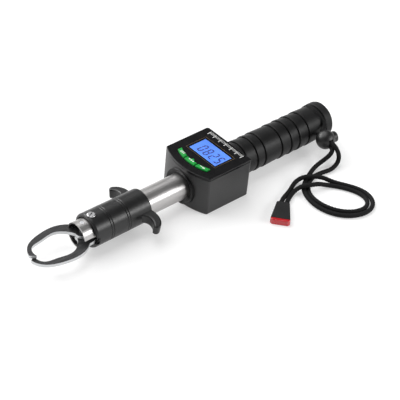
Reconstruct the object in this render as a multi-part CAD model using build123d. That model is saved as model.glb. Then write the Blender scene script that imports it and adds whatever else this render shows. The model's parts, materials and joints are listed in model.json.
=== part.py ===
from build123d import *
import math
import os

# Digital fish scale with a lip gripper, in millimetres.
# +X runs from the jaws to the end of the handle, +Z is up, and x = 0 is the middle of the length.

# ---- driving dimensions ----
LENGTH = 280.6
AXIS_Z = 14.3

TUBE_R = 10.0
TUBE_BORE_R = 9.1
TUBE_MOUTH_X = -100.5
TUBE_REAR_X = 7.0

JAW_Z = AXIS_Z - 1.3
PIVOT_X = -96.0
PIVOT_R = 1.5
CAM_X = -88.0
CAM_R = 2.0
TRAVEL = 8.0
JAW_DEGREES_PER_MM = 2.0
PLATE = 2.4
PLATE_GAP = 0.3
RUN_GAP = 0.3

SLEEVE_FRONT_X = -92.0
SLEEVE_REAR_X = -42.0
SLEEVE_FRONT_R = 13.0
SLEEVE_REAR_R = 12.7
SLEEVE_BORE_R = 10.06
SLEEVE_MOUTH_R = 10.9
SLEEVE_MOUTH_DEPTH = 3.0
WING_DROOP = 8.6

CASE_FRONT_X = 0.45
CASE_BULGE_X = -5.8
CASE_REAR_X = 41.4
CASE_HALF_Y = 24.3
CASE_H = 32.9
COVER_T = 2.0
LID_Z = CASE_H - COVER_T
WALL = 2.0
CORNER_POSTS = [(x, y) for x in (3.6, 36.0) for y in (-20.0, 20.0)]

BOARD_Z = 25.0
BOARD_T = 1.2
BOARD_POSTS = [(x, y) for x in (10.0, 33.8) for y in (-13.2, 13.2)]

WINDOW = (13.9, 30.5, 14.5)
BEZEL_W = 1.6
BUTTON_TRAVEL = 0.6
BUTTON_RISE = 1.0
BUTTON_FRONT_X = 1.1
BUTTON_DEPTH = 3.4
BUTTON_ARC_X = 40.0
BUTTON_SPANS = {"button_left": (6.4, 15.8), "button_middle": (-4.9, 5.1), "button_right": (-15.7, -6.2)}

GRIP_R = 14.0
GRIP_VALLEY_R = 13.3
GRIP_END_X = 127.0
GRIP_LIPS = (50.0, 60.3, 68.5, 85.5, 95.3, 104.0, 114.0)
CORE_R = 8.0

CAP_R = 14.3
CAP_HEAD_X = 131.6
NECK_X = 127.8
NECK_R = 10.5

CORD_D = 3.6
RING_X = 129.7
RING_R = 12.45

LOCK_AT = (120.8, -23.8, 16.0)
LOCK_R = 7.5
LOCK_TURN = -8.0
LOCK_TRAVEL = 1.8
PLUNGER_R = 4.3

CLIP_FROM = (53.5, -49.6)
CLIP_TO = (38.5, -62.3)
CLIP_END = (36.2, -64.2)
CLIP_T = 4.6
CLIP_LENGTH = math.dist(CLIP_FROM, CLIP_TO)
CLIP_TAIL = math.dist(CLIP_TO, CLIP_END)
CLIP_NECK = 5.0
CLIP_WIDE = 7.3


# ---- small helpers ----
def block(x0, x1, y0, y1, z0, z1):
    centre = ((x0 + x1) / 2, (y0 + y1) / 2, (z0 + z1) / 2)
    return Pos(*centre) * Box(x1 - x0, y1 - y0, z1 - z0)


def rod_x(x0, x1, radius, y=0.0, z=AXIS_Z):
    plane = Plane(origin=(x0, y, z), x_dir=(0, 1, 0), z_dir=(1, 0, 0))
    return extrude(plane * Circle(radius), amount=x1 - x0)


def rod_z(x, y, z0, z1, radius):
    return Pos(x, y, (z0 + z1) / 2) * Cylinder(radius, z1 - z0)


def ring_x(x0, x1, outer, inner):
    return rod_x(x0, x1, outer) - rod_x(x0 - 1, x1 + 1, inner)


def turned(points):
    """A solid turned about the long axis, from (x, radius) points."""
    outline = [(x, 0, AXIS_Z + r) for x, r in points]
    return revolve(make_face(Polyline(*outline, close=True)), Axis((0, 0, AXIS_Z), (1, 0, 0)))


def plate_z(face, z0, z1):
    return extrude(Pos(0, 0, z0) * face, amount=z1 - z0)


def mirrored_y(shape):
    return mirror(shape, about=Plane.XZ)


def coil(axis_point, direction, length, radius, wire_r, turns):
    """An open coil spring whose end faces stay inside its length."""
    start = Vector(*axis_point) + Vector(*direction) * wire_r
    path = Helix((length - 2 * wire_r) / turns, length - 2 * wire_r, radius, start, direction)
    section = Plane(origin=path @ 0, z_dir=path % 0) * Circle(wire_r)
    return sweep(section, path=path, is_frenet=True)


# ---- gripper head ----
def jaw_blade():
    """The C-shaped blade on the +Y side, from its root to the slanted tip that crosses the middle."""
    outer = Spline(
        (-96.8, 10.6), (-100.4, 13.3), (-105, 15.4), (-112, 16.5), (-119.5, 15.9), (-127, 14.2),
        (-133.4, 11.3), (-137.9, 6.7), (-140.0, 1.0),
    )
    inner = Spline(
        (-135.8, -1.7), (-136.0, 2.2), (-135.0, 5.3), (-132.8, 7.6), (-129.3, 8.8), (-124.2, 9.5),
        (-118.7, 10.6), (-114.4, 11.1), (-110, 10.4), (-106.7, 8.5), (-103.2, 5.4), (-100.8, 1.6),
    )
    tip = Line(outer @ 1, inner @ 0)
    root = Polyline(inner @ 1, (-95.5, -1.0), (-90.6, 4.0), (-90.6, 8.8), (-92.6, 10.2), outer @ 0)
    return make_face([outer, tip, inner, root])


def cam_slot_points(step=2.0):
    """Where the cam pin stands in the jaw plate as the sleeve goes back and the jaw turns."""
    points = []
    for i in range(int(TRAVEL / step) + 1):
        reach = CAM_X - PIVOT_X + i * step
        turn = math.radians(JAW_DEGREES_PER_MM * i * step)
        points.append((PIVOT_X + reach * math.cos(turn), reach * math.sin(turn)))
    return points


def jaw_face():
    """One jaw plate seen from above: blade, pivot eye and slotted tail."""
    points = cam_slot_points()
    slot_r = CAM_R + RUN_GAP
    tail = Pos(PIVOT_X, 0) * Circle(4.6)
    slot = Pos(*points[0], 0) * Circle(slot_r)
    for a, b in zip(points, points[1:]):
        middle = ((a[0] + b[0]) / 2, (a[1] + b[1]) / 2)
        angle = math.degrees(math.atan2(b[1] - a[1], b[0] - a[0]))
        run = math.dist(a, b)
        at = Pos(middle[0], middle[1], 0) * Rot(0, 0, angle)
        tail += at * Rectangle(run, 2 * slot_r + 3.0)
        slot += at * Rectangle(run, 2 * slot_r)
        tail += Pos(*b, 0) * Circle(slot_r + 1.5)
        slot += Pos(*b, 0) * Circle(slot_r)
    tail += make_face(Polyline((PIVOT_X, -4.6), (CAM_X, -3.8), (CAM_X, 3.8), (PIVOT_X, 4.6), close=True))
    eye = Pos(PIVOT_X, 0) * Circle(PIVOT_R + 0.05)
    return jaw_blade() + tail - slot - eye


def jaw(upper):
    z0 = JAW_Z + PLATE_GAP / 2
    face = jaw_face()
    if upper:
        return plate_z(face, z0, z0 + PLATE)
    return mirrored_y(plate_z(face, z0 - PLATE_GAP - PLATE, z0 - PLATE_GAP))


def main_tube():
    tube = ring_x(TUBE_MOUTH_X, TUBE_REAR_X, TUBE_R, TUBE_BORE_R)
    half_slot = PLATE + PLATE_GAP / 2 + RUN_GAP
    tube -= block(TUBE_MOUTH_X - 1, -88.6, -12, 12, JAW_Z - half_slot, JAW_Z + half_slot)
    half_cam = CAM_R + RUN_GAP
    slot = block(CAM_X, CAM_X + TRAVEL, -half_cam, half_cam, 0, 2 * AXIS_Z)
    slot += rod_z(CAM_X, 0, 0, 2 * AXIS_Z, half_cam)
    slot += rod_z(CAM_X + TRAVEL, 0, 0, 2 * AXIS_Z, half_cam)
    tube -= slot
    tube -= rod_z(PIVOT_X, 0, 0, 2 * AXIS_Z, PIVOT_R)
    return tube


def pivot_pin():
    return rod_z(PIVOT_X, 0, AXIS_Z - 9.9, AXIS_Z + 9.9, PIVOT_R)


def tube_plug():
    plug = rod_x(TUBE_REAR_X - 6, TUBE_REAR_X, TUBE_BORE_R) + rod_x(TUBE_REAR_X, 10, 6.5)
    return plug - rod_x(0, 20, 2.0)


def spring_seat():
    return ring_x(-38, -35, TUBE_BORE_R, 2.5)


def return_spring():
    return coil((-65.9, 0, AXIS_Z), (1, 0, 0), 27.8, 6.6, 0.6, 9)


def slider_yoke():
    """Carries the cam pin between two cheeks and takes the spring on its rear disc."""
    cheek_in = PLATE + PLATE_GAP / 2 + RUN_GAP
    yoke = rod_x(-70, -66, TUBE_BORE_R - 0.08)
    for side in (-1, 1):
        z0, z1 = sorted((JAW_Z + side * cheek_in, AXIS_Z + side * 6.9))
        yoke += block(-92, -70, -4.6, 4.6, z0, z1)
    yoke += rod_x(-66, -62, 5.2)
    return yoke - rod_z(CAM_X, 0, 0, 2 * AXIS_Z, CAM_R)


def cam_pin():
    pin = rod_z(CAM_X, 0, AXIS_Z - 8.6, AXIS_Z + 8.6, CAM_R)
    for side in (-1, 1):
        z0, z1 = sorted((AXIS_Z + side * 4.6, AXIS_Z + side * 8.6))
        pin -= rod_z(CAM_X, 0, z0, z1, 1.2)
    return pin


def sleeve_screw(side):
    """Slotted pan-head screw in a pocket of the sleeve, threaded into the cam pin."""
    shank = rod_z(0, 0, 4.6, 11.9, 1.2)
    head = fillet((rod_z(0, 0, 11.9, 13.7, 3.2)).edges().sort_by(Axis.Z)[-1], 0.7)
    slot = block(-4, 4, -0.45, 0.45, 13.0, 14.0)
    screw = Rot(0, 0, 25) * (shank + head - slot)
    if side < 0:
        screw = Rot(180, 0, 0) * screw
    return Pos(CAM_X, 0, AXIS_Z) * screw


def wing_outline():
    front = Spline((-56.5, 10.5), (-51.2, 13.0), (-48.4, 16.6), (-48.6, 20.9), (-50.9, 24.4))
    nose = ThreePointArc(front @ 1, (-49.7, 26.9), (-46.3, 26.7))
    rear = Spline(nose @ 1, (-42.7, 22.8), (-41.2, 17.5), (-42.1, 10.5))
    return make_face([front, nose, rear, Line(rear @ 1, front @ 0)])


def trigger_wing():
    """The finger wing on the +Y side, a little lower at its nose than at its root."""
    wing = plate_z(wing_outline(), AXIS_Z - 4, AXIS_Z + 4)
    wing = fillet(wing.edges().filter_by(Plane.XY), 1.3)
    wing = wing.rotate(Axis((0, 8, AXIS_Z), (1, 0, 0)), -WING_DROOP)
    return wing - rod_x(-60, -40, SLEEVE_REAR_R - 1.2)


def sleeve_profile():
    """Half section of the sleeve: rounded ends, two pairs of grooves and a wider mouth."""
    front, rear = SLEEVE_FRONT_X, SLEEVE_REAR_X
    mouth_end = front + SLEEVE_MOUTH_DEPTH
    profile = [(mouth_end, SLEEVE_BORE_R), (mouth_end, SLEEVE_MOUTH_R), (front, SLEEVE_MOUTH_R)]
    profile += [(front, SLEEVE_FRONT_R - 1.5), (front + 0.25, SLEEVE_FRONT_R - 0.75)]
    profile += [(front + 0.75, SLEEVE_FRONT_R - 0.25), (front + 1.5, SLEEVE_FRONT_R)]
    for x in (-78.5, -76.5, -63.5, -61.5):
        r = SLEEVE_FRONT_R - (SLEEVE_FRONT_R - SLEEVE_REAR_R) * (x - front) / (rear - front)
        profile += [(x - 0.4, r), (x, r - 0.4), (x + 0.4, r)]
    profile += [(rear - 1.0, SLEEVE_REAR_R), (rear - 0.3, SLEEVE_REAR_R - 0.3), (rear, SLEEVE_REAR_R - 1.0)]
    return profile + [(rear, SLEEVE_BORE_R)]


def trigger_sleeve():
    wing = trigger_wing()
    sleeve = turned(sleeve_profile()) + wing + mirrored_y(wing)
    half_notch = PLATE + PLATE_GAP / 2 + RUN_GAP + 0.3
    sleeve -= block(SLEEVE_FRONT_X - 1, -89.4, -15, 15, JAW_Z - half_notch, JAW_Z + half_notch)
    for side in (-1, 1):
        z0, z1 = sorted((AXIS_Z + side * 11.9, AXIS_Z + side * 15))
        sleeve -= rod_z(CAM_X, 0, z0, z1, 3.5)
    return sleeve - rod_z(CAM_X, 0, 0, 2 * AXIS_Z, 1.2)


# ---- scale case ----
def case_outline():
    y = CASE_HALF_Y
    arc = ThreePointArc((CASE_FRONT_X, -y), (CASE_BULGE_X, 0), (CASE_FRONT_X, y))
    back = Polyline((CASE_FRONT_X, y), (CASE_REAR_X, y), (CASE_REAR_X, -y), (CASE_FRONT_X, -y))
    face = make_face([arc, back])
    return fillet(face.vertices(), 2.0)


def case_body():
    body = plate_z(case_outline(), 0, LID_Z - 0.15)
    body = fillet(body.faces().sort_by(Axis.Z)[0].edges(), 1.2)
    body -= plate_z(offset(case_outline(), -WALL), WALL, LID_Z + 1)
    for x, y in CORNER_POSTS:
        body += rod_z(x, y, WALL, 27, 3.2)
    body = body & plate_z(case_outline(), -1, LID_Z)
    for x, y in CORNER_POSTS:
        body -= rod_z(x, y, -1, 19, 2.3)
        body -= rod_z(x, y, 18, 28, 1.35)
    body -= rod_x(-10, 5, 11.3)
    body -= rod_x(CASE_REAR_X - 4, CASE_REAR_X + 1, CORE_R)
    body -= rod_z(21, 0, -1, 3, 12.2)
    body += ring_floor(21, 0, WALL, 5.2, 13.4, 12.2)
    body += ring_floor(21, 0, 1.5, WALL, 12.2, 11.0)
    return body


def ring_floor(x, y, z0, z1, outer, inner):
    return rod_z(x, y, z0, z1, outer) - rod_z(x, y, z0 - 1, z1 + 1, inner)


def battery_cover():
    cover = rod_z(21, 0, 0.3, 1.5, 11.9) + rod_z(21, 0, 1.5, 2.0, 10.7)
    return cover - block(13, 29, -0.8, 0.8, -1, 1.0)


def coin_cell():
    return rod_z(21, 0, 2.0, 4.6, 10.0) + rod_z(21, 0, 4.6, 5.2, 8.4)


def battery_contacts():
    """Spring strips from the cell's rim and from its top face up to the circuit board."""
    rim_strip = block(17, 21, -10.4, -10.0, 2.4, BOARD_Z)
    top_strip = block(18, 22, 7.6, 8.0, 5.6, BOARD_Z) + block(18, 22, 3.0, 8.0, 5.2, 5.6)
    return rim_strip + top_strip


def case_cover():
    cover = plate_z(case_outline(), LID_Z, CASE_H)
    cover = fillet(cover.faces().sort_by(Axis.Z)[-1].edges(), 0.5)
    x0, x1, y = WINDOW
    cover -= block(x0, x1, -y, y, LID_Z - 1, CASE_H + 1)
    b = BEZEL_W
    cover -= block(x0 - b, x1 + b, -y - b, y + b, CASE_H - 0.6, CASE_H + 1)
    for span in BUTTON_SPANS.values():
        cover -= plate_z(button_outline(*span, grow=0.25), LID_Z - 1, CASE_H + 1)
    for x, y in CORNER_POSTS:
        cover += rod_z(x, y, 27, LID_Z, 2.2)
        cover -= rod_z(x, y, 26, 30, 1.1)
    for x, y in BOARD_POSTS:
        cover += rod_z(x, y, BOARD_Z + BOARD_T, LID_Z, 1.6)
        cover -= rod_z(x, y, BOARD_Z, 30, 0.7)
    return cover


def case_screws():
    screws = Part()
    for x, y in CORNER_POSTS:
        screw = rod_z(x, y, 17.2, 19, 2.2) + rod_z(x, y, 19, 30, 1.1)
        screw -= block(x - 1.2, x + 1.2, y - 0.3, y + 0.3, 16, 18)
        screw -= block(x - 0.3, x + 0.3, y - 1.2, y + 1.2, 16, 18)
        screws += screw
    return screws


def board_screws():
    screws = Part()
    for x, y in BOARD_POSTS:
        screw = rod_z(x, y, BOARD_Z - 1.1, BOARD_Z, 1.4) + rod_z(x, y, BOARD_Z, 30, 0.7)
        screws += screw - block(x - 1, x + 1, y - 0.2, y + 0.2, BOARD_Z - 2, BOARD_Z - 0.6)
    return screws


def circuit_board():
    board = block(1.2, 35.5, -15.6, 15.6, BOARD_Z, BOARD_Z + BOARD_T)
    for x, y in BOARD_POSTS:
        board -= rod_z(x, y, BOARD_Z - 1, BOARD_Z + 3, 0.8)
    board += block(14, 20, -4, 4, BOARD_Z - 1.2, BOARD_Z)
    board += block(23, 27, -9, -5, BOARD_Z - 1.0, BOARD_Z)
    board += block(7, 9, -8, -3, BOARD_Z - 0.8, BOARD_Z)
    return board


def button_outline(y0, y1, grow=0.0):
    """A curved bar that follows the arc of the case's front; the middle one has a peak behind."""
    front = BUTTON_FRONT_X - grow
    depth = BUTTON_DEPTH + 2 * grow
    outer_r = BUTTON_ARC_X - front
    band = Pos(BUTTON_ARC_X, 0, 0) * (Circle(outer_r) - Circle(outer_r - depth))
    centre = (y0 + y1) / 2
    bar = band & (Pos(5, centre, 0) * RectangleRounded(14, y1 - y0 + 2 * grow, 0.6))
    if y0 < 0 < y1:
        base = front + depth - 1.0
        half = 3.2 + grow
        bar += make_face(Polyline((base, centre - half), (base + 3.1, centre), (base, centre + half), close=True))
    return bar.face() if isinstance(bar, Sketch) else bar


def button(y0, y1):
    cap = plate_z(button_outline(y0, y1), 28.9, CASE_H + BUTTON_RISE)
    cap = fillet(cap.faces().sort_by(Axis.Z)[-1].edges(), 0.45)
    flange = plate_z(button_outline(y0, y1, grow=0.45), 29.2, 30.2)
    return cap + flange


def keypad():
    """Rubber sheet with one dome under each button."""
    top = BOARD_Z + BOARD_T + 0.8
    pad = block(1.4, 7.8, -15.4, 15.4, BOARD_Z + BOARD_T, top)
    for y0, y1 in BUTTON_SPANS.values():
        y = max(-12.4, min(12.4, (y0 + y1) / 2))
        pad += Pos(4.2, y, top) * Cone(2.6, 1.6, 1.2, align=(Align.CENTER, Align.CENTER, Align.MIN))
    return pad


def display_window():
    x0, x1, y = WINDOW
    return block(x0, x1, -y, y, CASE_H - 0.45, CASE_H - 0.1)


def display_bezel():
    x0, x1, y = WINDOW
    b = BEZEL_W
    ring = block(x0 - b, x1 + b, -y - b, y + b, CASE_H - 0.6, CASE_H - 0.05)
    return ring - block(x0, x1, -y, y, 20, 40)


def display_panel():
    x0, x1, y = WINDOW
    return block(x0 + 0.2, x1 - 0.2, -y + 0.2, y - 0.2, 29.3, CASE_H - 0.5)


def display_holder():
    x0, x1, y = WINDOW
    holder = block(x0 - 1.3, x1 + 1.3, -y - 1.2, y + 1.2, BOARD_Z + BOARD_T, LID_Z)
    holder -= block(x0 + 0.2, x1 - 0.2, -y + 0.2, y - 0.2, 29.3, LID_Z + 1)
    for x, y in BOARD_POSTS:
        holder -= rod_z(x, y, 20, 40, 1.8)
    return holder


def front_collar():
    """Dished ring where the tube enters the case, with a sleeve through the wall."""
    bore = TUBE_R + 0.05
    neck = 11.3
    dish = turned([
        (-4.9, bore), (-5.3, 11.2), (-6.0, 12.3), (-6.6, 13.3), (-6.6, 14.0), (-6.2, 14.25),
        (-2.0, 14.25), (-2.0, neck), (0.9, neck), (0.9, bore),
    ])
    return dish - (plate_z(case_outline(), -1, 40) - rod_x(-10, 5, neck))


def load_cell():
    """S-shaped beam: two cuts leave a thin bridge that bends when the tube is pulled."""
    z0, z1 = 8.6, 20.0
    beam = block(10, 31, -5.5, 5.5, z0, z1)
    beam -= block(14.5, 16.0, -6, 6, z0 - 1, z1 - 3.0)
    beam -= block(25.0, 26.5, -6, 6, z0 + 3.0, z1 + 1)
    for x in (18.2, 22.8):
        beam -= Pos(x, 0, AXIS_Z) * Rot(90, 0, 0) * Cylinder(1.9, 20)
    beam -= rod_x(9, 14, 2.0)
    beam -= rod_x(27, 32, 2.0)
    return beam


def load_cell_screws():
    front = rod_x(-1.6, 1.0, 3.5) + rod_x(1.0, 14.0, 2.0) - rod_x(-2, 0, 1.5)
    rear = rod_x(27.0, 36.0, 2.0) + rod_x(36.0, 38.6, 3.5) - rod_x(37, 39, 1.5)
    return front + rear


# ---- handle ----
def handle_core():
    """Metal tube of the handle, closed by a flange inside the case."""
    core = rod_x(31.0, 36.0, 7.5) + rod_x(36.0, CASE_REAR_X - WALL, 11.5) + rod_x(36, 124.0, CORE_R)
    core -= rod_x(36.0, 130, CORE_R - 1.5)
    return core - rod_x(30, 37, 2.0)


def rubber_grip():
    start = CASE_REAR_X
    profile = [(start, CORE_R), (start, 13.5), (start + 0.5, 13.7)]
    last = GRIP_R - 0.1
    groove = GRIP_VALLEY_R - 0.5
    for lip in GRIP_LIPS:
        profile += [(lip - 1.0, GRIP_VALLEY_R + 0.1), (lip - 0.45, groove), (lip, groove)]
        profile += [(lip + 0.15, last), (lip + 0.9, last + 0.1)]
    profile += [(GRIP_END_X - 0.4, 13.45), (GRIP_END_X - 0.1, 13.2), (GRIP_END_X - 0.1, CORE_R)]
    return turned(profile)


def end_cap():
    head = LENGTH / 2
    profile = [(124.0, 0.0), (124.0, CORE_R - 1.5), (GRIP_END_X, CORE_R - 1.5)]
    profile += [(GRIP_END_X, 13.5), (NECK_X, 13.5), (NECK_X, NECK_R)]
    profile += [(CAP_HEAD_X, NECK_R), (CAP_HEAD_X, CAP_R - 0.3), (CAP_HEAD_X + 0.3, CAP_R)]
    profile += [(head - 3.4, CAP_R), (head - 2.0, CAP_R - 0.45), (head - 0.8, CAP_R - 1.7)]
    profile += [(head - 0.2, CAP_R - 3.4), (head, CAP_R - 5.6), (head, 0.0)]
    cap = turned(profile)
    return cap - rod_x(100, head - 3.0, 1.6) - rod_x(head - 3.0, head + 1, 3.2)


def core_plug():
    plug = rod_x(112, 124.0, CORE_R - 1.5)
    return plug - rod_x(114, 125, 1.6)


def cap_screw():
    head = LENGTH / 2 - 3.0
    screw = rod_x(116, head, 1.6) + rod_x(head, head + 2.0, 3.0)
    drive = block(head + 1.0, head + 3, -2.2, 2.2, AXIS_Z - 0.4, AXIS_Z + 0.4)
    drive += block(head + 1.0, head + 3, -0.4, 0.4, AXIS_Z - 2.2, AXIS_Z + 2.2)
    return screw - drive


# ---- cord lock ----
def lock_place(shape):
    """From the lock's own frame, plunger along x and cords along y, to where the lock hangs."""
    return Pos(*LOCK_AT) * Rot(0, 0, LOCK_TURN) * shape


def lock_rod(x0, x1, radius):
    plane = Plane(origin=(x0, 0, 0), x_dir=(0, 1, 0), z_dir=(1, 0, 0))
    return extrude(plane * Circle(radius), amount=x1 - x0)


def cord_lock_body():
    ball = Sphere(LOCK_R)
    ball -= lock_rod(-5.0, 9, PLUNGER_R + 0.3)
    ball -= lock_rod(-6.3, -4.9, 2.6)
    ball -= Box(3.9, 20, 7.5)
    return lock_place(ball)


def cord_lock_plunger():
    plunger = lock_rod(-2.9, 9.4, PLUNGER_R)
    plunger = fillet(plunger.edges().sort_by(Axis.X)[-1], 0.9)
    plunger -= block(-1.95, 1.95 + LOCK_TRAVEL, -10, 10, -3.7, 3.7)
    return lock_place(plunger)


def cord_lock_spring():
    return lock_place(coil((-6.25, 0, 0), (1, 0, 0), 3.3, 1.9, 0.2, 3))


# ---- lanyard ----
def ring_corner(degrees, span):
    """A corner of the route round the neck groove; 0 is the far side, 90 the top, -90 the bottom."""
    out = RING_R / math.cos(math.radians(span / 2))
    turn = math.radians(degrees)
    return (RING_X, out * math.cos(turn), AXIS_Z + out * math.sin(turn))


def groove_route(side):
    """Half way round the neck groove and out of it, over the top (1) or under (-1)."""
    corners = [(RING_X, RING_R, AXIS_Z), ring_corner(22.5, 45), ring_corner(67.5, 45), ring_corner(105, 30)]
    return [(x, y, AXIS_Z + side * (z - AXIS_Z)) for x, y, z in corners]


# Each strand goes round the groove, through the cord lock, down to the floor, once round the
# loop, over itself and into the clip. They lie side by side where the loop is double.
STRAND_OVER = groove_route(1) + [
    (129.7, -14.9, 20.4), (122.0, -16.2, 17.9), (119.3, -34.6, 17.85), (121.3, -37.0, 13.0),
    (122.6, -38.0, 8.4), (121.6, -39.0, 4.3), (117.6, -40.0, 2.2), (111.6, -41.0, 1.82),
    (105.0, -39.8, 1.82), (97.6, -38.9, 1.82), (90.0, -40.9, 1.82), (83.4, -45.2, 1.82),
    (78.9, -50.6, 1.82), (76.6, -56.8, 1.82), (76.2, -63.6, 1.82), (77.6, -71.2, 1.82),
    (81.0, -78.4, 1.82), (86.4, -84.4, 1.82), (93.2, -88.2, 1.82), (100.8, -88.9, 1.82),
    (106.8, -85.6, 1.82), (109.6, -79.4, 1.82), (108.9, -72.0, 1.82), (105.9, -65.2, 1.82),
    (102.0, -59.2, 1.82), (98.0, -54.8, 1.95), (93.8, -52.0, 3.0), (88.6, -50.3, 5.0),
    (83.4, -49.0, 5.7), (78.2, -46.4, 5.7), (73.8, -44.2, 4.0), (69.0, -44.2, 2.2),
    (64.2, -46.0, 2.0), (59.4, -48.6, 2.2), (53.9, -52.1, 2.3),
]
STRAND_UNDER = groove_route(-1) + [
    (129.7, -14.9, 8.2), (122.0, -16.2, 14.3), (119.4, -33.9, 14.25), (116.5, -34.6, 10.4),
    (112.6, -33.0, 6.3), (108.0, -31.7, 3.5), (102.4, -32.2, 2.1), (96.4, -34.6, 1.82),
    (90.6, -37.3, 1.82), (84.4, -40.7, 1.82), (79.2, -44.5, 1.82), (76.0, -49.4, 1.82),
    (73.6, -55.2, 1.82), (72.3, -62.0, 1.82), (72.6, -69.6, 1.82), (75.0, -77.6, 1.82),
    (79.6, -84.6, 1.82), (86.4, -90.0, 1.82), (94.6, -92.9, 1.82), (102.8, -92.5, 1.82),
    (109.6, -88.4, 1.82), (113.3, -81.6, 1.82), (113.5, -74.0, 1.82), (111.2, -67.0, 1.82),
    (107.8, -61.2, 1.82), (104.6, -56.4, 1.9), (101.4, -51.8, 2.5), (98.0, -48.2, 4.6),
    (93.8, -44.6, 5.8), (89.0, -40.7, 5.8), (84.4, -37.6, 4.9), (80.0, -36.3, 2.8),
    (75.4, -37.5, 1.9), (70.8, -39.9, 1.85), (65.8, -42.1, 1.84), (60.4, -43.9, 2.0),
    (55.2, -46.4, 2.2), (51.1, -49.1, 2.3),
]


def corner_radii(points):
    """As large as the two runs beside each corner allow."""
    radii = []
    for a, b, c in zip(points, points[1:], points[2:]):
        before = Vector(*b) - Vector(*a)
        after = Vector(*c) - Vector(*b)
        turn = math.radians(before.get_angle(after))
        radii.append(0.45 * min(before.length, after.length) / math.tan(turn / 2))
    return radii


def strand(name, points):
    radii = corner_radii(points)
    path = FilletPolyline(*points, radius=radii)
    section = Plane(origin=path @ 0, z_dir=path % 0) * Circle(CORD_D / 2)
    tube = sweep(section, path=path)
    expected = math.pi * (CORD_D / 2) ** 2 * path.length
    print(name, "length", round(path.length, 1), "volume ratio", round(tube.volume / expected, 4))
    print(name, "radii", [round(r, 1) for r in radii])
    return tube


def clip_place(shape):
    """From the clip's own frame, x along it from the cord end, to where it lies."""
    angle = math.degrees(math.atan2(CLIP_TO[1] - CLIP_FROM[1], CLIP_TO[0] - CLIP_FROM[0]))
    return Pos(CLIP_FROM[0], CLIP_FROM[1], 0) * Rot(0, 0, angle) * shape


def clip_half(upper):
    """One shell of the cord end: a widening wedge with ribbed sides."""
    z0 = CLIP_T / 2 + 0.01 if upper else 0.0
    right = [(0, CLIP_NECK - 0.5), (1.2, CLIP_NECK), (CLIP_LENGTH, CLIP_WIDE)]
    left = [(x, -y) for x, y in reversed(right)]
    outline = make_face(Polyline(*right, *left, close=True))
    half = plate_z(outline, z0, z0 + CLIP_T / 2 - 0.01)
    rim = half.faces().sort_by(Axis.Z)[-1 if upper else 0].edges()
    half = fillet(rim, 0.9)
    for i in range(6):
        x = 2.6 + 2.2 * i
        for side in (-1, 1):
            y = side * (CLIP_NECK + (x - 1.2) * (CLIP_WIDE - CLIP_NECK) / (CLIP_LENGTH - 1.2))
            half -= rod_z(x, y + side * 0.25, -1, CLIP_T + 1, 0.6)
    for y in (-2.05, 2.05):
        half -= rod_x(-1, 6.5, CORD_D / 2 + 0.02, y=y, z=CLIP_T / 2)
    half -= block(9.0, CLIP_LENGTH + 1, -2.6, 2.6, CLIP_T / 2 - 0.8, CLIP_T / 2 + 0.8)
    return clip_place(half)


def clip_insert():
    """Coloured end piece with a tongue held between the two shells."""
    tail = Pos(CLIP_LENGTH, 0, 0) * make_face(Polyline(
        (0.05, CLIP_WIDE), (CLIP_TAIL - 1.4, CLIP_WIDE), (CLIP_TAIL, 5.8), (CLIP_TAIL, -5.8),
        (CLIP_TAIL - 1.4, -CLIP_WIDE), (0.05, -CLIP_WIDE), close=True,
    ))
    body = plate_z(tail, 0, CLIP_T)
    body = fillet(body.edges().filter_by(Plane.XY), 0.6)
    tongue = block(9.1, CLIP_LENGTH + 1, -2.5, 2.5, CLIP_T / 2 - 0.75, CLIP_T / 2 + 0.75)
    return clip_place(body + tongue)


def parts():
    yield "jaw_upper", jaw(upper=True)
    yield "jaw_lower", jaw(upper=False)
    yield "jaw_pivot_pin", pivot_pin()
    yield "main_tube", main_tube()
    yield "tube_plug", tube_plug()
    yield "spring_seat", spring_seat()
    yield "return_spring", return_spring()
    yield "slider_yoke", slider_yoke()
    yield "cam_pin", cam_pin()
    yield "sleeve_screw_top", sleeve_screw(1)
    yield "sleeve_screw_bottom", sleeve_screw(-1)
    yield "trigger_sleeve", trigger_sleeve()
    yield "case_body", case_body()
    yield "case_cover", case_cover()
    yield "case_screws", case_screws()
    yield "front_collar", front_collar()
    yield "battery_cover", battery_cover()
    yield "coin_cell", coin_cell()
    yield "battery_contacts", battery_contacts()
    yield "circuit_board", circuit_board()
    yield "board_screws", board_screws()
    yield "keypad", keypad()
    for name, span in BUTTON_SPANS.items():
        yield name, button(*span)
    yield "display_window", display_window()
    yield "display_bezel", display_bezel()
    yield "display_panel", display_panel()
    yield "display_holder", display_holder()
    yield "load_cell", load_cell()
    yield "load_cell_screws", load_cell_screws()
    yield "handle_core", handle_core()
    yield "core_plug", core_plug()
    yield "rubber_grip", rubber_grip()
    yield "end_cap", end_cap()
    yield "cap_screw", cap_screw()
    yield "cord_lock_body", cord_lock_body()
    yield "cord_lock_plunger", cord_lock_plunger()
    yield "cord_lock_spring", cord_lock_spring()
    yield "lanyard_strand_over", strand("over", STRAND_OVER)
    yield "lanyard_strand_under", strand("under", STRAND_UNDER)
    yield "cord_end_upper", clip_half(upper=True)
    yield "cord_end_lower", clip_half(upper=False)
    yield "cord_end_insert", clip_insert()


os.makedirs("parts", exist_ok=True)
for node, shape in parts():
    export_step(shape, f"parts/{node}.step")
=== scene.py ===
import json
import math

import bmesh
import bpy
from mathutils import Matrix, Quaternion, Vector


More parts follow.
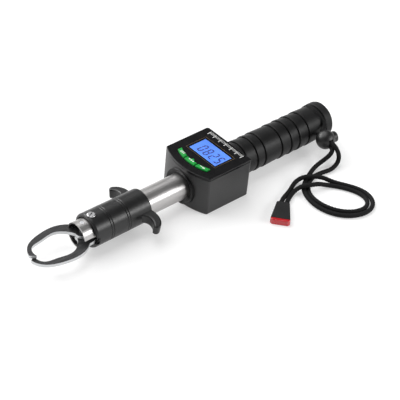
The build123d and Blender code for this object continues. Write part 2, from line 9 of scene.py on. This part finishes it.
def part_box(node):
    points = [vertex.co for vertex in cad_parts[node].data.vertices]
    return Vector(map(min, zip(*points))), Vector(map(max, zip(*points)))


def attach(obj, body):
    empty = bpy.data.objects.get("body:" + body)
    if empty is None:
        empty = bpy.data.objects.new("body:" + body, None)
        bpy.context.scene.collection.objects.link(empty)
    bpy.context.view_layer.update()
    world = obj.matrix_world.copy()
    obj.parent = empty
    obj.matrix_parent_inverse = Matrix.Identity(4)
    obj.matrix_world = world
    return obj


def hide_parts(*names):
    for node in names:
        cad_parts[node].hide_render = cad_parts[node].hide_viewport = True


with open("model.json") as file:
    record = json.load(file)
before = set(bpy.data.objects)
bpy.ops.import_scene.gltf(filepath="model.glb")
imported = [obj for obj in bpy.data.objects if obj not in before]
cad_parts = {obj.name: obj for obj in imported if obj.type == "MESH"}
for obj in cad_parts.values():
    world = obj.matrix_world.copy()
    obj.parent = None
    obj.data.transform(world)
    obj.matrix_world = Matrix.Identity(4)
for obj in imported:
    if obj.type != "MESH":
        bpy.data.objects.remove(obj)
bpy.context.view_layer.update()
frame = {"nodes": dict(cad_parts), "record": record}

MM = 0.001
NODES = frame["nodes"]

# ---- camera: from the jaws' side and above, tilted a little ----
CAMERA_AT = Vector((-0.6221, -0.6411, 0.7251))
CAMERA_AIM = Vector((0.0082, -0.0084, 0.0))
CAMERA_ROLL = math.radians(5.83)
CAMERA_LENS = 140.77


def make_camera():
    data = bpy.data.cameras.new("camera")
    data.sensor_width = 36.0
    data.lens = CAMERA_LENS
    data.clip_start = 0.01
    data.clip_end = 20.0
    camera = bpy.data.objects.new("camera", data)
    bpy.context.collection.objects.link(camera)
    camera.location = CAMERA_AT
    look = (CAMERA_AIM - CAMERA_AT).to_track_quat("-Z", "Y")
    camera.rotation_mode = "QUATERNION"
    camera.rotation_quaternion = look @ Quaternion((0.0, 0.0, 1.0), CAMERA_ROLL)
    bpy.context.scene.camera = camera


# ---- lanyard, in metres: the same routes as in the CAD model ----
CORD_D = 0.0036
AXIS_Z = 0.0143
RING_X = 0.1297
RING_R = 0.01245

BRAID_SIDES = 32
BRAID_BUMPS = 4
BRAID_PITCH = 0.0026
BRAID_DEPTH = 0.00017
BRAID_STEP = 0.0004


def ring_corner(degrees, span):
    out = RING_R / math.cos(math.radians(span / 2))
    turn = math.radians(degrees)
    return (RING_X, out * math.cos(turn), AXIS_Z + out * math.sin(turn))


def groove_route(side):
    """Half way round the neck groove, over the top (1) or under (-1)."""
    corners = [(RING_X, RING_R, AXIS_Z), ring_corner(22.5, 45), ring_corner(67.5, 45), ring_corner(105, 30)]
    return [(x, y, AXIS_Z + side * (z - AXIS_Z)) for x, y, z in corners]


STRAND_OVER = groove_route(1) + [
    (0.1297, -0.0149, 0.0204), (0.122, -0.0162, 0.0179), (0.1193, -0.0346, 0.01785),
    (0.1213, -0.037, 0.013), (0.1226, -0.038, 0.0084), (0.1216, -0.039, 0.0043), (0.1176, -0.04, 0.0022),
    (0.1116, -0.041, 0.00182), (0.105, -0.0398, 0.00182), (0.0976, -0.0389, 0.00182),
    (0.09, -0.0409, 0.00182), (0.0834, -0.0452, 0.00182), (0.0789, -0.0506, 0.00182),
    (0.0766, -0.0568, 0.00182), (0.0762, -0.0636, 0.00182), (0.0776, -0.0712, 0.00182),
    (0.081, -0.0784, 0.00182), (0.0864, -0.0844, 0.00182), (0.0932, -0.0882, 0.00182),
    (0.1008, -0.0889, 0.00182), (0.1068, -0.0856, 0.00182), (0.1096, -0.0794, 0.00182),
    (0.1089, -0.072, 0.00182), (0.1059, -0.0652, 0.00182), (0.102, -0.0592, 0.00182),
    (0.098, -0.0548, 0.00195), (0.0938, -0.052, 0.003), (0.0886, -0.0503, 0.005),
    (0.0834, -0.049, 0.0057), (0.0782, -0.0464, 0.0057), (0.0738, -0.0442, 0.004),
    (0.069, -0.0442, 0.0022), (0.0642, -0.046, 0.002), (0.0594, -0.0486, 0.0022),
    (0.0539, -0.0521, 0.0023),
]
STRAND_UNDER = groove_route(-1) + [
    (0.1297, -0.0149, 0.0082), (0.122, -0.0162, 0.0143), (0.1194, -0.0339, 0.01425),
    (0.1165, -0.0346, 0.0104), (0.1126, -0.033, 0.0063), (0.108, -0.0317, 0.0035),
    (0.1024, -0.0322, 0.0021), (0.0964, -0.0346, 0.00182), (0.0906, -0.0373, 0.00182),
    (0.0844, -0.0407, 0.00182), (0.0792, -0.0445, 0.00182), (0.076, -0.0494, 0.00182),
    (0.0736, -0.0552, 0.00182), (0.0723, -0.062, 0.00182), (0.0726, -0.0696, 0.00182),
    (0.075, -0.0776, 0.00182), (0.0796, -0.0846, 0.00182), (0.0864, -0.09, 0.00182),
    (0.0946, -0.0929, 0.00182), (0.1028, -0.0925, 0.00182), (0.1096, -0.0884, 0.00182),
    (0.1133, -0.0816, 0.00182), (0.1135, -0.074, 0.00182), (0.1112, -0.067, 0.00182),
    (0.1078, -0.0612, 0.00182), (0.1046, -0.0564, 0.0019), (0.1014, -0.0518, 0.0025),
    (0.098, -0.0482, 0.0046), (0.0938, -0.0446, 0.0058), (0.089, -0.0407, 0.0058),
    (0.0844, -0.0376, 0.0049), (0.08, -0.0363, 0.0028), (0.0754, -0.0375, 0.0019),
    (0.0708, -0.0399, 0.00185), (0.0658, -0.0421, 0.00184), (0.0604, -0.0439, 0.002),
    (0.0552, -0.0464, 0.0022), (0.0511, -0.0491, 0.0023),
]


def route_line(name, points):
    """Points along the route's smooth spline, evenly spaced."""
    data = bpy.data.curves.new(name, "CURVE")
    data.dimensions = "3D"
    spline = data.splines.new("NURBS")
    spline.points.add(len(points) - 1)
    for point, place in zip(spline.points, points):
        point.co = (*place, 1.0)
    spline.order_u = 3
    spline.use_endpoint_u = True
    spline.resolution_u = 16
    curve = bpy.data.objects.new(name, data)
    bpy.context.collection.objects.link(curve)
    bpy.context.view_layer.update()
    mesh = bpy.data.meshes.new_from_object(curve)
    line = [v.co.copy() for v in mesh.vertices]
    bpy.data.objects.remove(curve)
    bpy.data.meshes.remove(mesh)
    return line


def evenly(line, step):
    """The line again with points a fixed step apart."""
    total = sum((b - a).length for a, b in zip(line, line[1:]))
    count = max(2, round(total / step))
    spacing = total / count
    out = [line[0].copy()]
    run = 0.0
    for a, b in zip(line, line[1:]):
        length = (b - a).length
        while len(out) < count and run + length >= spacing * len(out):
            out.append(a.lerp(b, (spacing * len(out) - run) / length))
        run += length
    out.append(line[-1].copy())
    return out, total


def braided_cord(name, line, radius):
    """A tube along the line whose skin is raised in the diamonds of a round braid."""
    mesh = bmesh.new()
    normal = Vector((0.0, 0.0, 1.0))
    rings = []
    for i, point in enumerate(line):
        ahead = line[min(i + 1, len(line) - 1)] - line[max(i - 1, 0)]
        ahead.normalize()
        normal = (normal - ahead * normal.dot(ahead)).normalized()
        side = ahead.cross(normal)
        ring = []
        for k in range(BRAID_SIDES):
            turn = 2 * math.pi * k / BRAID_SIDES
            along = math.pi * i * BRAID_STEP / BRAID_PITCH
            left = abs(math.sin(BRAID_BUMPS * turn + along))
            right = abs(math.sin(BRAID_BUMPS * turn - along))
            reach = radius - BRAID_DEPTH * (1.0 - left * right)
            ring.append(mesh.verts.new(point + (normal * math.cos(turn) + side * math.sin(turn)) * reach))
        rings.append(ring)
    for a, b in zip(rings, rings[1:]):
        for k in range(BRAID_SIDES):
            m = (k + 1) % BRAID_SIDES
            mesh.faces.new((a[k], a[m], b[m], b[k]))
    mesh.faces.new(reversed(rings[0]))
    mesh.faces.new(rings[-1])
    bmesh.ops.recalc_face_normals(mesh, faces=mesh.faces)
    return finish_mesh(name, mesh, smooth=True)


def finish_mesh(name, mesh, smooth=False):
    data = bpy.data.meshes.new(name)
    mesh.to_mesh(data)
    mesh.free()
    for face in data.polygons:
        face.use_smooth = smooth
    piece = bpy.data.objects.new(name, data)
    bpy.context.collection.objects.link(piece)
    return piece


def make_lanyard(material):
    for name, node, points in (
        ("lanyard_over", "lanyard_strand_over", STRAND_OVER),
        ("lanyard_under", "lanyard_strand_under", STRAND_UNDER),
    ):
        line, length = evenly(route_line(name, points), BRAID_STEP)
        cord = braided_cord(name, line, CORD_D / 2)
        cord.data.materials.append(material)
        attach(cord, "scale")
        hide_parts(node)


# ---- materials ----
class Finish:
    """A Principled material with short ways to add procedural detail."""

    def __init__(self, name, color, roughness, metallic=0.0, **sockets):
        self.material = bpy.data.materials.new(name)
        self.material.use_nodes = True
        self.nodes = self.material.node_tree.nodes
        self.links = self.material.node_tree.links
        self.shader = self.nodes["Principled BSDF"]
        self.set(self.shader, "Base Color", (*color, 1.0))
        self.set(self.shader, "Roughness", roughness)
        self.set(self.shader, "Metallic", metallic)
        for socket, value in sockets.items():
            self.set(self.shader, socket.replace("_", " "), value)
        self.place = self.nodes.new("ShaderNodeTexCoord").outputs["Object"]

    @staticmethod
    def set(node, socket, value):
        node.inputs[socket].default_value = value

    def stretched(self, scale):
        mapping = self.nodes.new("ShaderNodeMapping")
        self.set(mapping, "Scale", scale)
        self.links.new(self.place, mapping.inputs["Vector"])
        return mapping.outputs["Vector"]

    def noise(self, scale, detail=3.0, stretch=(1.0, 1.0, 1.0)):
        node = self.nodes.new("ShaderNodeTexNoise")
        self.set(node, "Scale", scale)
        self.set(node, "Detail", detail)
        self.links.new(self.stretched(stretch), node.inputs["Vector"])
        return node.outputs["Fac"]

    def ramp(self, value, *stops):
        node = self.nodes.new("ShaderNodeValToRGB")
        elements = node.color_ramp.elements
        while len(elements) < len(stops):
            elements.new(0.5)
        for element, (position, color) in zip(elements, stops):
            element.position = position
            element.color = (*color, 1.0)
        self.links.new(value, node.inputs["Fac"])
        return node.outputs["Color"]

    def spread(self, value, low, high):
        """Maps 0..1 to low..high."""
        node = self.nodes.new("ShaderNodeMapRange")
        self.set(node, "To Min", low)
        self.set(node, "To Max", high)
        self.links.new(value, node.inputs["Value"])
        return node.outputs["Result"]

    def color(self, value):
        self.links.new(value, self.shader.inputs["Base Color"])

    def roughness(self, value):
        self.links.new(value, self.shader.inputs["Roughness"])

    def bump(self, height, distance):
        node = self.nodes.new("ShaderNodeBump")
        self.set(node, "Distance", distance)
        self.set(node, "Strength", 1.0)
        self.links.new(height, node.inputs["Height"])
        self.links.new(node.outputs["Normal"], self.shader.inputs["Normal"])


def jaw_steel():
    """Blanked steel plate: dark faces brushed along the blade, the sheared side faces painted bright grey
    as a painted edge highlight.
    """
    m = Finish("jaw_steel", (0.06, 0.06, 0.062), 0.42, metallic=0.6, Specular_IOR_Level=0.3)
    streaks = m.noise(900.0, 5.0, (0.12, 1.0, 1.0))
    face = m.ramp(streaks, (0.3, (0.028, 0.028, 0.029)), (0.7, (0.06, 0.06, 0.062)))
    normal = m.nodes.new("ShaderNodeNewGeometry").outputs["Normal"]
    split = m.nodes.new("ShaderNodeSeparateXYZ")
    m.links.new(normal, split.inputs["Vector"])
    flat = m.nodes.new("ShaderNodeMath")
    flat.operation = "ABSOLUTE"
    m.links.new(split.outputs["Z"], flat.inputs[0])
    # Painted highlight: faces standing sideways (low |normal z|) get the bright grey below, which paints in
    # the light caught by the plate's edges.
    side = m.ramp(flat.outputs["Value"], (0.55, (1.0, 1.0, 1.0)), (0.85, (0.0, 0.0, 0.0)))
    mix = m.nodes.new("ShaderNodeMix")
    mix.data_type = "RGBA"
    m.links.new(side, mix.inputs["Factor"])
    m.links.new(face, mix.inputs["A"])
    # Bright grey of the painted edge highlight on the side faces.
    mix.inputs["B"].default_value = (0.62, 0.63, 0.64, 1.0)
    m.color(mix.outputs["Result"])
    m.roughness(m.spread(streaks, 0.34, 0.5))
    m.bump(streaks, 0.00003)
    return m.material


def steel(name, color, roughness, stretch, scale=1400.0):
    """Metal drawn or brushed one way, with faint streaks."""
    m = Finish(name, color, roughness, metallic=1.0)
    streaks = m.noise(scale, 4.0, stretch)
    dark = tuple(c * 0.9 for c in color)
    m.color(m.ramp(streaks, (0.3, dark), (0.7, color)))
    m.roughness(m.spread(streaks, roughness * 0.8, roughness * 1.25))
    m.bump(streaks, 0.000012)
    return m.material


def sleeve_black():
    """Black anodised aluminium with fine turning rings and a satin surface."""
    m = Finish("sleeve_black", (0.009, 0.009, 0.0095), 0.34, Specular_IOR_Level=0.5)
    rings = m.noise(1600.0, 3.0, (1.0, 0.04, 0.04))
    patches = m.noise(60.0, 4.0)
    m.color(m.ramp(patches, (0.35, (0.006, 0.006, 0.0063)), (0.7, (0.011, 0.011, 0.0115))))
    m.roughness(m.spread(rings, 0.28, 0.42))
    m.bump(rings, 0.00001)
    return m.material


def plastic(name, color, roughness, grain=2600.0, depth=0.00002, **sockets):
    """Moulded plastic with a fine even grain."""
    m = Finish(name, color, roughness, **sockets)
    fine = m.noise(grain, 4.0)
    broad = m.noise(45.0, 3.0)
    dark = tuple(c * 0.85 for c in color)
    light = tuple(min(1.0, c * 1.15) for c in color)
    m.color(m.ramp(broad, (0.3, dark), (0.7, light)))
    m.roughness(m.spread(fine, roughness * 0.85, roughness * 1.15))
    m.bump(fine, depth)
    return m.material


def gloss(name, color, roughness, **sockets):
    """Smooth moulded plastic with faint handling marks."""
    m = Finish(name, color, roughness, **sockets)
    marks = m.noise(140.0, 6.0)
    dark = tuple(c * 0.9 for c in color)
    m.color(m.ramp(marks, (0.35, dark), (0.65, color)))
    m.roughness(m.spread(marks, roughness * 0.7, roughness * 1.6))
    m.bump(marks, 0.000004)
    return m.material


def rubber(name, color, roughness=0.62):
    """Matt rubber with a pebbled skin."""
    m = Finish(name, color, roughness, Specular_IOR_Level=0.3)
    skin = m.noise(3200.0, 3.0)
    wear = m.noise(70.0, 5.0)
    dark = tuple(c * 0.8 for c in color)
    light = tuple(c * 1.3 for c in color)
    m.color(m.ramp(wear, (0.35, dark), (0.7, light)))
    m.roughness(m.spread(wear, roughness * 0.85, roughness * 1.12))
    m.bump(skin, 0.00004)
    return m.material


def cord_black():
    """Braided polyester: matt filaments of uneven tone."""
    m = Finish("cord_black", (0.004, 0.004, 0.0045), 0.75, Specular_IOR_Level=0.2)
    fibres = m.noise(2600.0, 4.0, (1.0, 1.0, 0.6))
    m.color(m.ramp(fibres, (0.3, (0.002, 0.002, 0.0022)), (0.72, (0.008, 0.008, 0.0085))))
    m.roughness(m.spread(fibres, 0.6, 0.85))
    m.bump(fibres, 0.00005)
    return m.material


def panel_blue():
    """Backlit display: light blue, lit a little unevenly."""
    m = Finish("panel_blue", (0.08, 0.24, 0.85), 0.35)
    glow = m.noise(25.0, 1.0)
    lit = m.ramp(glow, (0.3, (0.075, 0.225, 0.82)), (0.7, (0.105, 0.3, 0.95)))
    m.color(lit)
    m.links.new(lit, m.shader.inputs["Emission Color"])
    m.set(m.shader, "Emission Strength", 0.55)
    return m.material


def window_clear():
    m = Finish("window_clear", (1.0, 1.0, 1.0), 0.03, Transmission_Weight=1.0, IOR=1.45)
    scratches = m.noise(500.0, 6.0)
    m.roughness(m.spread(scratches, 0.01, 0.05))
    return m.material


def painted(name, color):
    """Screen-printed ink of slightly uneven tone."""
    m = Finish(name, color, 0.45)
    speckle = m.noise(4000.0, 2.0)
    dark = tuple(c * 0.85 for c in color)
    m.color(m.ramp(speckle, (0.3, dark), (0.7, color)))
    m.bump(speckle, 0.000005)
    return m.material


MATERIALS = {
    "jaw_steel": jaw_steel(),
    "pin_steel": steel("pin_steel", (0.62, 0.63, 0.65), 0.25, (1.0, 1.0, 0.1)),
    "tube_steel": steel("tube_steel", (0.50, 0.49, 0.485), 0.34, (0.02, 1.0, 1.0)),
    "alloy": steel("alloy", (0.62, 0.63, 0.65), 0.32, (1.0, 0.1, 0.1)),
    "spring_steel": steel("spring_steel", (0.5, 0.5, 0.52), 0.28, (1.0, 1.0, 1.0)),
    "screw_steel": steel("screw_steel", (0.5, 0.5, 0.51), 0.2, (1.0, 1.0, 1.0), 900.0),
    "sleeve_black": sleeve_black(),
    "case_grey": plastic("case_grey", (0.018, 0.018, 0.0185), 0.4),
    "cover_black": gloss("cover_black", (0.004, 0.004, 0.0045), 0.16, Specular_IOR_Level=0.28),
    "dark_screw": steel("dark_screw", (0.06, 0.06, 0.062), 0.35, (1.0, 1.0, 1.0)),
    "collar_black": plastic("collar_black", (0.004, 0.004, 0.0045), 0.42, Specular_IOR_Level=0.3),
    "cell_steel": steel("cell_steel", (0.7, 0.7, 0.69), 0.2, (1.0, 1.0, 0.2)),
    "contact_metal": steel("contact_metal", (0.75, 0.6, 0.3), 0.3, (1.0, 1.0, 0.2)),
    "board_green": plastic("board_green", (0.02, 0.14, 0.06), 0.35, 900.0),
    "keypad_rubber": rubber("keypad_rubber", (0.2, 0.2, 0.21)),
    "button_green": gloss("button_green", (0.0, 0.30, 0.035), 0.3, Specular_IOR_Level=0.3),
    "window_clear": window_clear(),
    "bezel_bronze": gloss("bezel_bronze", (0.004, 0.004, 0.0045), 0.14, Specular_IOR_Level=0.28),
    "panel_blue": panel_blue(),
    "holder_white": plastic("holder_white", (0.7, 0.7, 0.7), 0.5),
    "grip_rubber": rubber("grip_rubber", (0.005, 0.005, 0.0053), 0.46),
    "cap_black": rubber("cap_black", (0.006, 0.006, 0.0065), 0.55),
    "lock_black": plastic("lock_black", (0.007, 0.007, 0.0075), 0.4),
    "cord_black": cord_black(),
    "clip_black": rubber("clip_black", (0.008, 0.008, 0.0085), 0.42),
    "clip_red": gloss("clip_red", (0.5, 0.006, 0.012), 0.12, Coat_Weight=0.6),
}
INK_WHITE = painted("ink_white", (0.75, 0.75, 0.74))
INK_BLUE = painted("ink_blue", (0.02, 0.035, 0.34))
BRONZE_LINE = steel("bronze_line", (0.22, 0.15, 0.09), 0.35, (1.0, 1.0, 1.0))


def dress_cad_nodes():
    for entry in frame["record"]["subparts"]:
        node = NODES[entry["node"]]
        for holder in node.material_slots:
            holder.material = MATERIALS[entry["material_slot"]]


# ---- thin printed shapes ----
def prism(mesh, corners, low, high):
    """Adds one flat-topped prism over a list of (x, y) corners."""
    bottom = [mesh.verts.new((x, y, low)) for x, y in corners]
    top = [mesh.verts.new((x, y, high)) for x, y in corners]
    mesh.faces.new(list(reversed(bottom)))
    mesh.faces.new(top)
    for i in range(len(corners)):
        k = (i + 1) % len(corners)
        mesh.faces.new((bottom[i], bottom[k], top[k], top[i]))


def put(piece, body, material):
    piece.data.materials.append(material)
    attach(piece, body)


SEGMENTS = {"0": "abcdef", "8": "abcdefg", "2": "abged", "5": "afgcd"}
READING = "0825"
DIGIT_W = 3.0 * MM
DIGIT_H = 8.6 * MM
DIGIT_PITCH = 6.0 * MM
STROKE = 1.1 * MM
SLANT = 0.1
SEGMENT_GAP = 0.12 * MM
READING_LEFT = 8.9 * MM
READING_BASE = 5.3 * MM
INK_LIFT = 0.01 * MM
INK_T = 0.03 * MM
MARK_T = 0.02 * MM


def segment_corners(which):
    """Corners of one bar of a seven-segment digit, in (across, up) from its lower left."""
    w, h, t = DIGIT_W, DIGIT_H, STROKE / 2
    ends = {
        "a": ((0, h), (w, h)), "b": ((w, h), (w, h / 2)), "c": ((w, h / 2), (w, 0)),
        "d": ((0, 0), (w, 0)), "e": ((0, h / 2), (0, 0)), "f": ((0, h), (0, h / 2)),
        "g": ((0, h / 2), (w, h / 2)),
    }
    a, b = (Vector(p) for p in ends[which])
    along = (b - a).normalized()
    across = Vector((-along.y, along.x)) * t
    a += along * SEGMENT_GAP
    b -= along * SEGMENT_GAP
    inset = along * t
    return [a, a + inset + across, b - inset + across, b, b - inset - across, a + inset - across]


def make_digits():
    """Four slanted digits, read from the near side with their tops towards the handle."""
    low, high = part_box("display_panel")
    top = high.z + INK_LIFT
    first_y = (low.y + high.y) / 2 + READING_LEFT
    base_x = (low.x + high.x) / 2 - READING_BASE
    mesh = bmesh.new()
    for place, digit in enumerate(READING):
        for which in SEGMENTS[digit]:
            corners = []
            for across, up in segment_corners(which):
                x = base_x + up
                y = first_y - place * DIGIT_PITCH - across - SLANT * up
                corners.append((x, y))
            prism(mesh, corners, top, top + INK_T)
    bmesh.ops.recalc_face_normals(mesh, faces=mesh.faces)
    put(finish_mesh("display_digits", mesh), "scale", INK_BLUE)


OUTLINE_W = 0.3 * MM
OUTLINE_ROOT = 0.2 * MM


def make_display_outline():
    """Thin bronze line round the display's dark border."""
    low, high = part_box("display_bezel")
    line = OUTLINE_W
    z0 = high.z - OUTLINE_ROOT
    z1 = high.z + INK_T
    mesh = bmesh.new()
    x0, x1, y0, y1 = low.x, high.x, low.y, high.y
    for corners in (
        [(x0, y0), (x1, y0), (x1, y0 + line), (x0, y0 + line)],
        [(x0, y1 - line), (x1, y1 - line), (x1, y1), (x0, y1)],
        [(x0, y0 + line), (x0 + line, y0 + line), (x0 + line, y1 - line), (x0, y1 - line)],
        [(x1 - line, y0 + line), (x1, y0 + line), (x1, y1 - line), (x1 - line, y1 - line)],
    ):
        prism(mesh, corners, z0, z1)
    bmesh.ops.recalc_face_normals(mesh, faces=mesh.faces)
    put(finish_mesh("display_outline", mesh), "scale", BRONZE_LINE)


TICKS = 31
LONG_EVERY = 5
TICK_FIRST_Y = 18.0 * MM
TICK_SPAN = 35.6 * MM
TICK_INSET = 2.2 * MM
LONG_TICK = (4.0 * MM, 0.25 * MM)
SHORT_TICK = (2.3 * MM, 0.16 * MM)


def make_scale_marks():
    """A row of graduation ticks behind the display, every fifth one long."""
    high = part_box("case_cover")[1]
    rear = high.x - TICK_INSET
    mesh = bmesh.new()
    for i in range(TICKS):
        y = TICK_FIRST_Y - i * TICK_SPAN / (TICKS - 1)
        reach, half = SHORT_TICK if i % LONG_EVERY else LONG_TICK
        corners = [(rear - reach, y - half), (rear, y - half), (rear, y + half), (rear - reach, y + half)]
        prism(mesh, corners, high.z - INK_LIFT, high.z + MARK_T)
    bmesh.ops.recalc_face_normals(mesh, faces=mesh.faces)
    put(finish_mesh("scale_marks", mesh), "scale", INK_WHITE)


def bar_shape(x, y, length, width):
    return [(x - width / 2, y - length / 2), (x + width / 2, y - length / 2),
            (x + width / 2, y + length / 2), (x - width / 2, y + length / 2)]


BUTTON_ARC_X = 40.0 * MM
BUTTON_ARC_R = 36.9 * MM


def bars_mark(x, y):
    return [bar_shape(x + step * MM, y, 4.6 * MM, 0.5 * MM) for step in (-0.5, 0.6)]


def squares_mark(x, y):
    return [bar_shape(x + 0.6 * MM, y + step * MM, 1.2 * MM, 1.2 * MM) for step in (-1.9, 0, 1.9)]


def arrow_mark(x, y):
    tip = y - 2.6 * MM
    half = 0.95 * MM
    head = [(x - half, tip + 1.9 * MM), (x, tip), (x + half, tip + 1.9 * MM)]
    return [bar_shape(x, y + 0.9 * MM, 3.0 * MM, 0.55 * MM), head]


def make_button_marks():
    """A white pictogram on each button: two bars, three squares, and an arrow."""
    for side, mark in (("left", bars_mark), ("middle", squares_mark), ("right", arrow_mark)):
        low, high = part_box(f"button_{side}")
        y = (low.y + high.y) / 2
        x = BUTTON_ARC_X - math.sqrt(BUTTON_ARC_R ** 2 - y ** 2)
        mesh = bmesh.new()
        for corners in mark(x, y):
            prism(mesh, corners, high.z - MARK_T, high.z + MARK_T)
        bmesh.ops.recalc_face_normals(mesh, faces=mesh.faces)
        put(finish_mesh(f"mark_{side}", mesh), f"{side}_button", INK_WHITE)


# ---- floor and light ----
FLOOR_SIZE = 6.0
FLOOR_GLOW = 0.42


def make_floor():
    """A pale floor that glows a little, which keeps the shadows light."""
    mesh = bmesh.new()
    bmesh.ops.create_grid(mesh, x_segments=2, y_segments=2, size=FLOOR_SIZE)
    floor = finish_mesh("floor", mesh)
    m = Finish("floor_white", (0.6, 0.6, 0.6), 0.9, Specular_IOR_Level=0.0)
    m.set(m.shader, "Emission Color", (1.0, 1.0, 1.0, 1.0))
    m.set(m.shader, "Emission Strength", FLOOR_GLOW)
    floor.data.materials.append(m.material)


LIGHT_AIM = Vector((0.0, 0.0, 0.01))


def soft_light(name, direction, distance, size, power):
    data = bpy.data.lights.new(name, "AREA")
    data.shape = "RECTANGLE"
    data.size, data.size_y = size
    data.energy = power
    light = bpy.data.objects.new(name, data)
    bpy.context.collection.objects.link(light)
    toward = Vector(direction).normalized()
    light.location = LIGHT_AIM + toward * distance
    light.rotation_mode = "QUATERNION"
    light.rotation_quaternion = (-toward).to_track_quat("-Z", "Y")


def make_world():
    """A dim room: light below and round the horizon, dark overhead."""
    world = bpy.data.worlds.new("studio")
    world.use_nodes = True
    nodes, links = world.node_tree.nodes, world.node_tree.links
    place = nodes.new("ShaderNodeTexCoord")
    split = nodes.new("ShaderNodeSeparateXYZ")
    ramp = nodes.new("ShaderNodeValToRGB")
    links.new(place.outputs["Generated"], split.inputs["Vector"])
    links.new(split.outputs["Z"], ramp.inputs["Fac"])
    stops = ((0.0, 0.75), (0.12, 0.42), (0.4, 0.16), (1.0, 0.16))
    elements = ramp.color_ramp.elements
    while len(elements) < len(stops):
        elements.new(0.5)
    for element, (position, level) in zip(elements, stops):
        element.position = position
        element.color = (level, level, level, 1.0)
    links.new(ramp.outputs["Color"], nodes["Background"].inputs["Color"])
    nodes["Background"].inputs["Strength"].default_value = 1.0
    bpy.context.scene.world = world


KEY_ENERGY = 3.0
KEY_ANGLE = math.radians(75)
KEY_SHINES = Vector((0.2, -0.75, -1.0))


def make_lights():
    """A broad key light from the far side, and a soft box on each side low down."""
    data = bpy.data.lights.new("key", "SUN")
    data.energy = KEY_ENERGY
    data.angle = KEY_ANGLE
    key = bpy.data.objects.new("key", data)
    bpy.context.collection.objects.link(key)
    key.rotation_mode = "QUATERNION"
    key.rotation_quaternion = KEY_SHINES.to_track_quat("-Z", "Y")
    soft_light("right_box", (0.54, -0.72, 0.42), 1.0, (0.7, 0.28), 5.0)
    soft_light("back_box", (-0.35, 0.9, 0.5), 1.3, (1.2, 0.4), 10.0)


make_camera()
make_lanyard(MATERIALS["cord_black"])
dress_cad_nodes()
make_digits()
make_display_outline()
make_scale_marks()
make_button_marks()
make_floor()
make_world()
make_lights()
bpy.context.scene.view_settings.view_transform = "Standard"
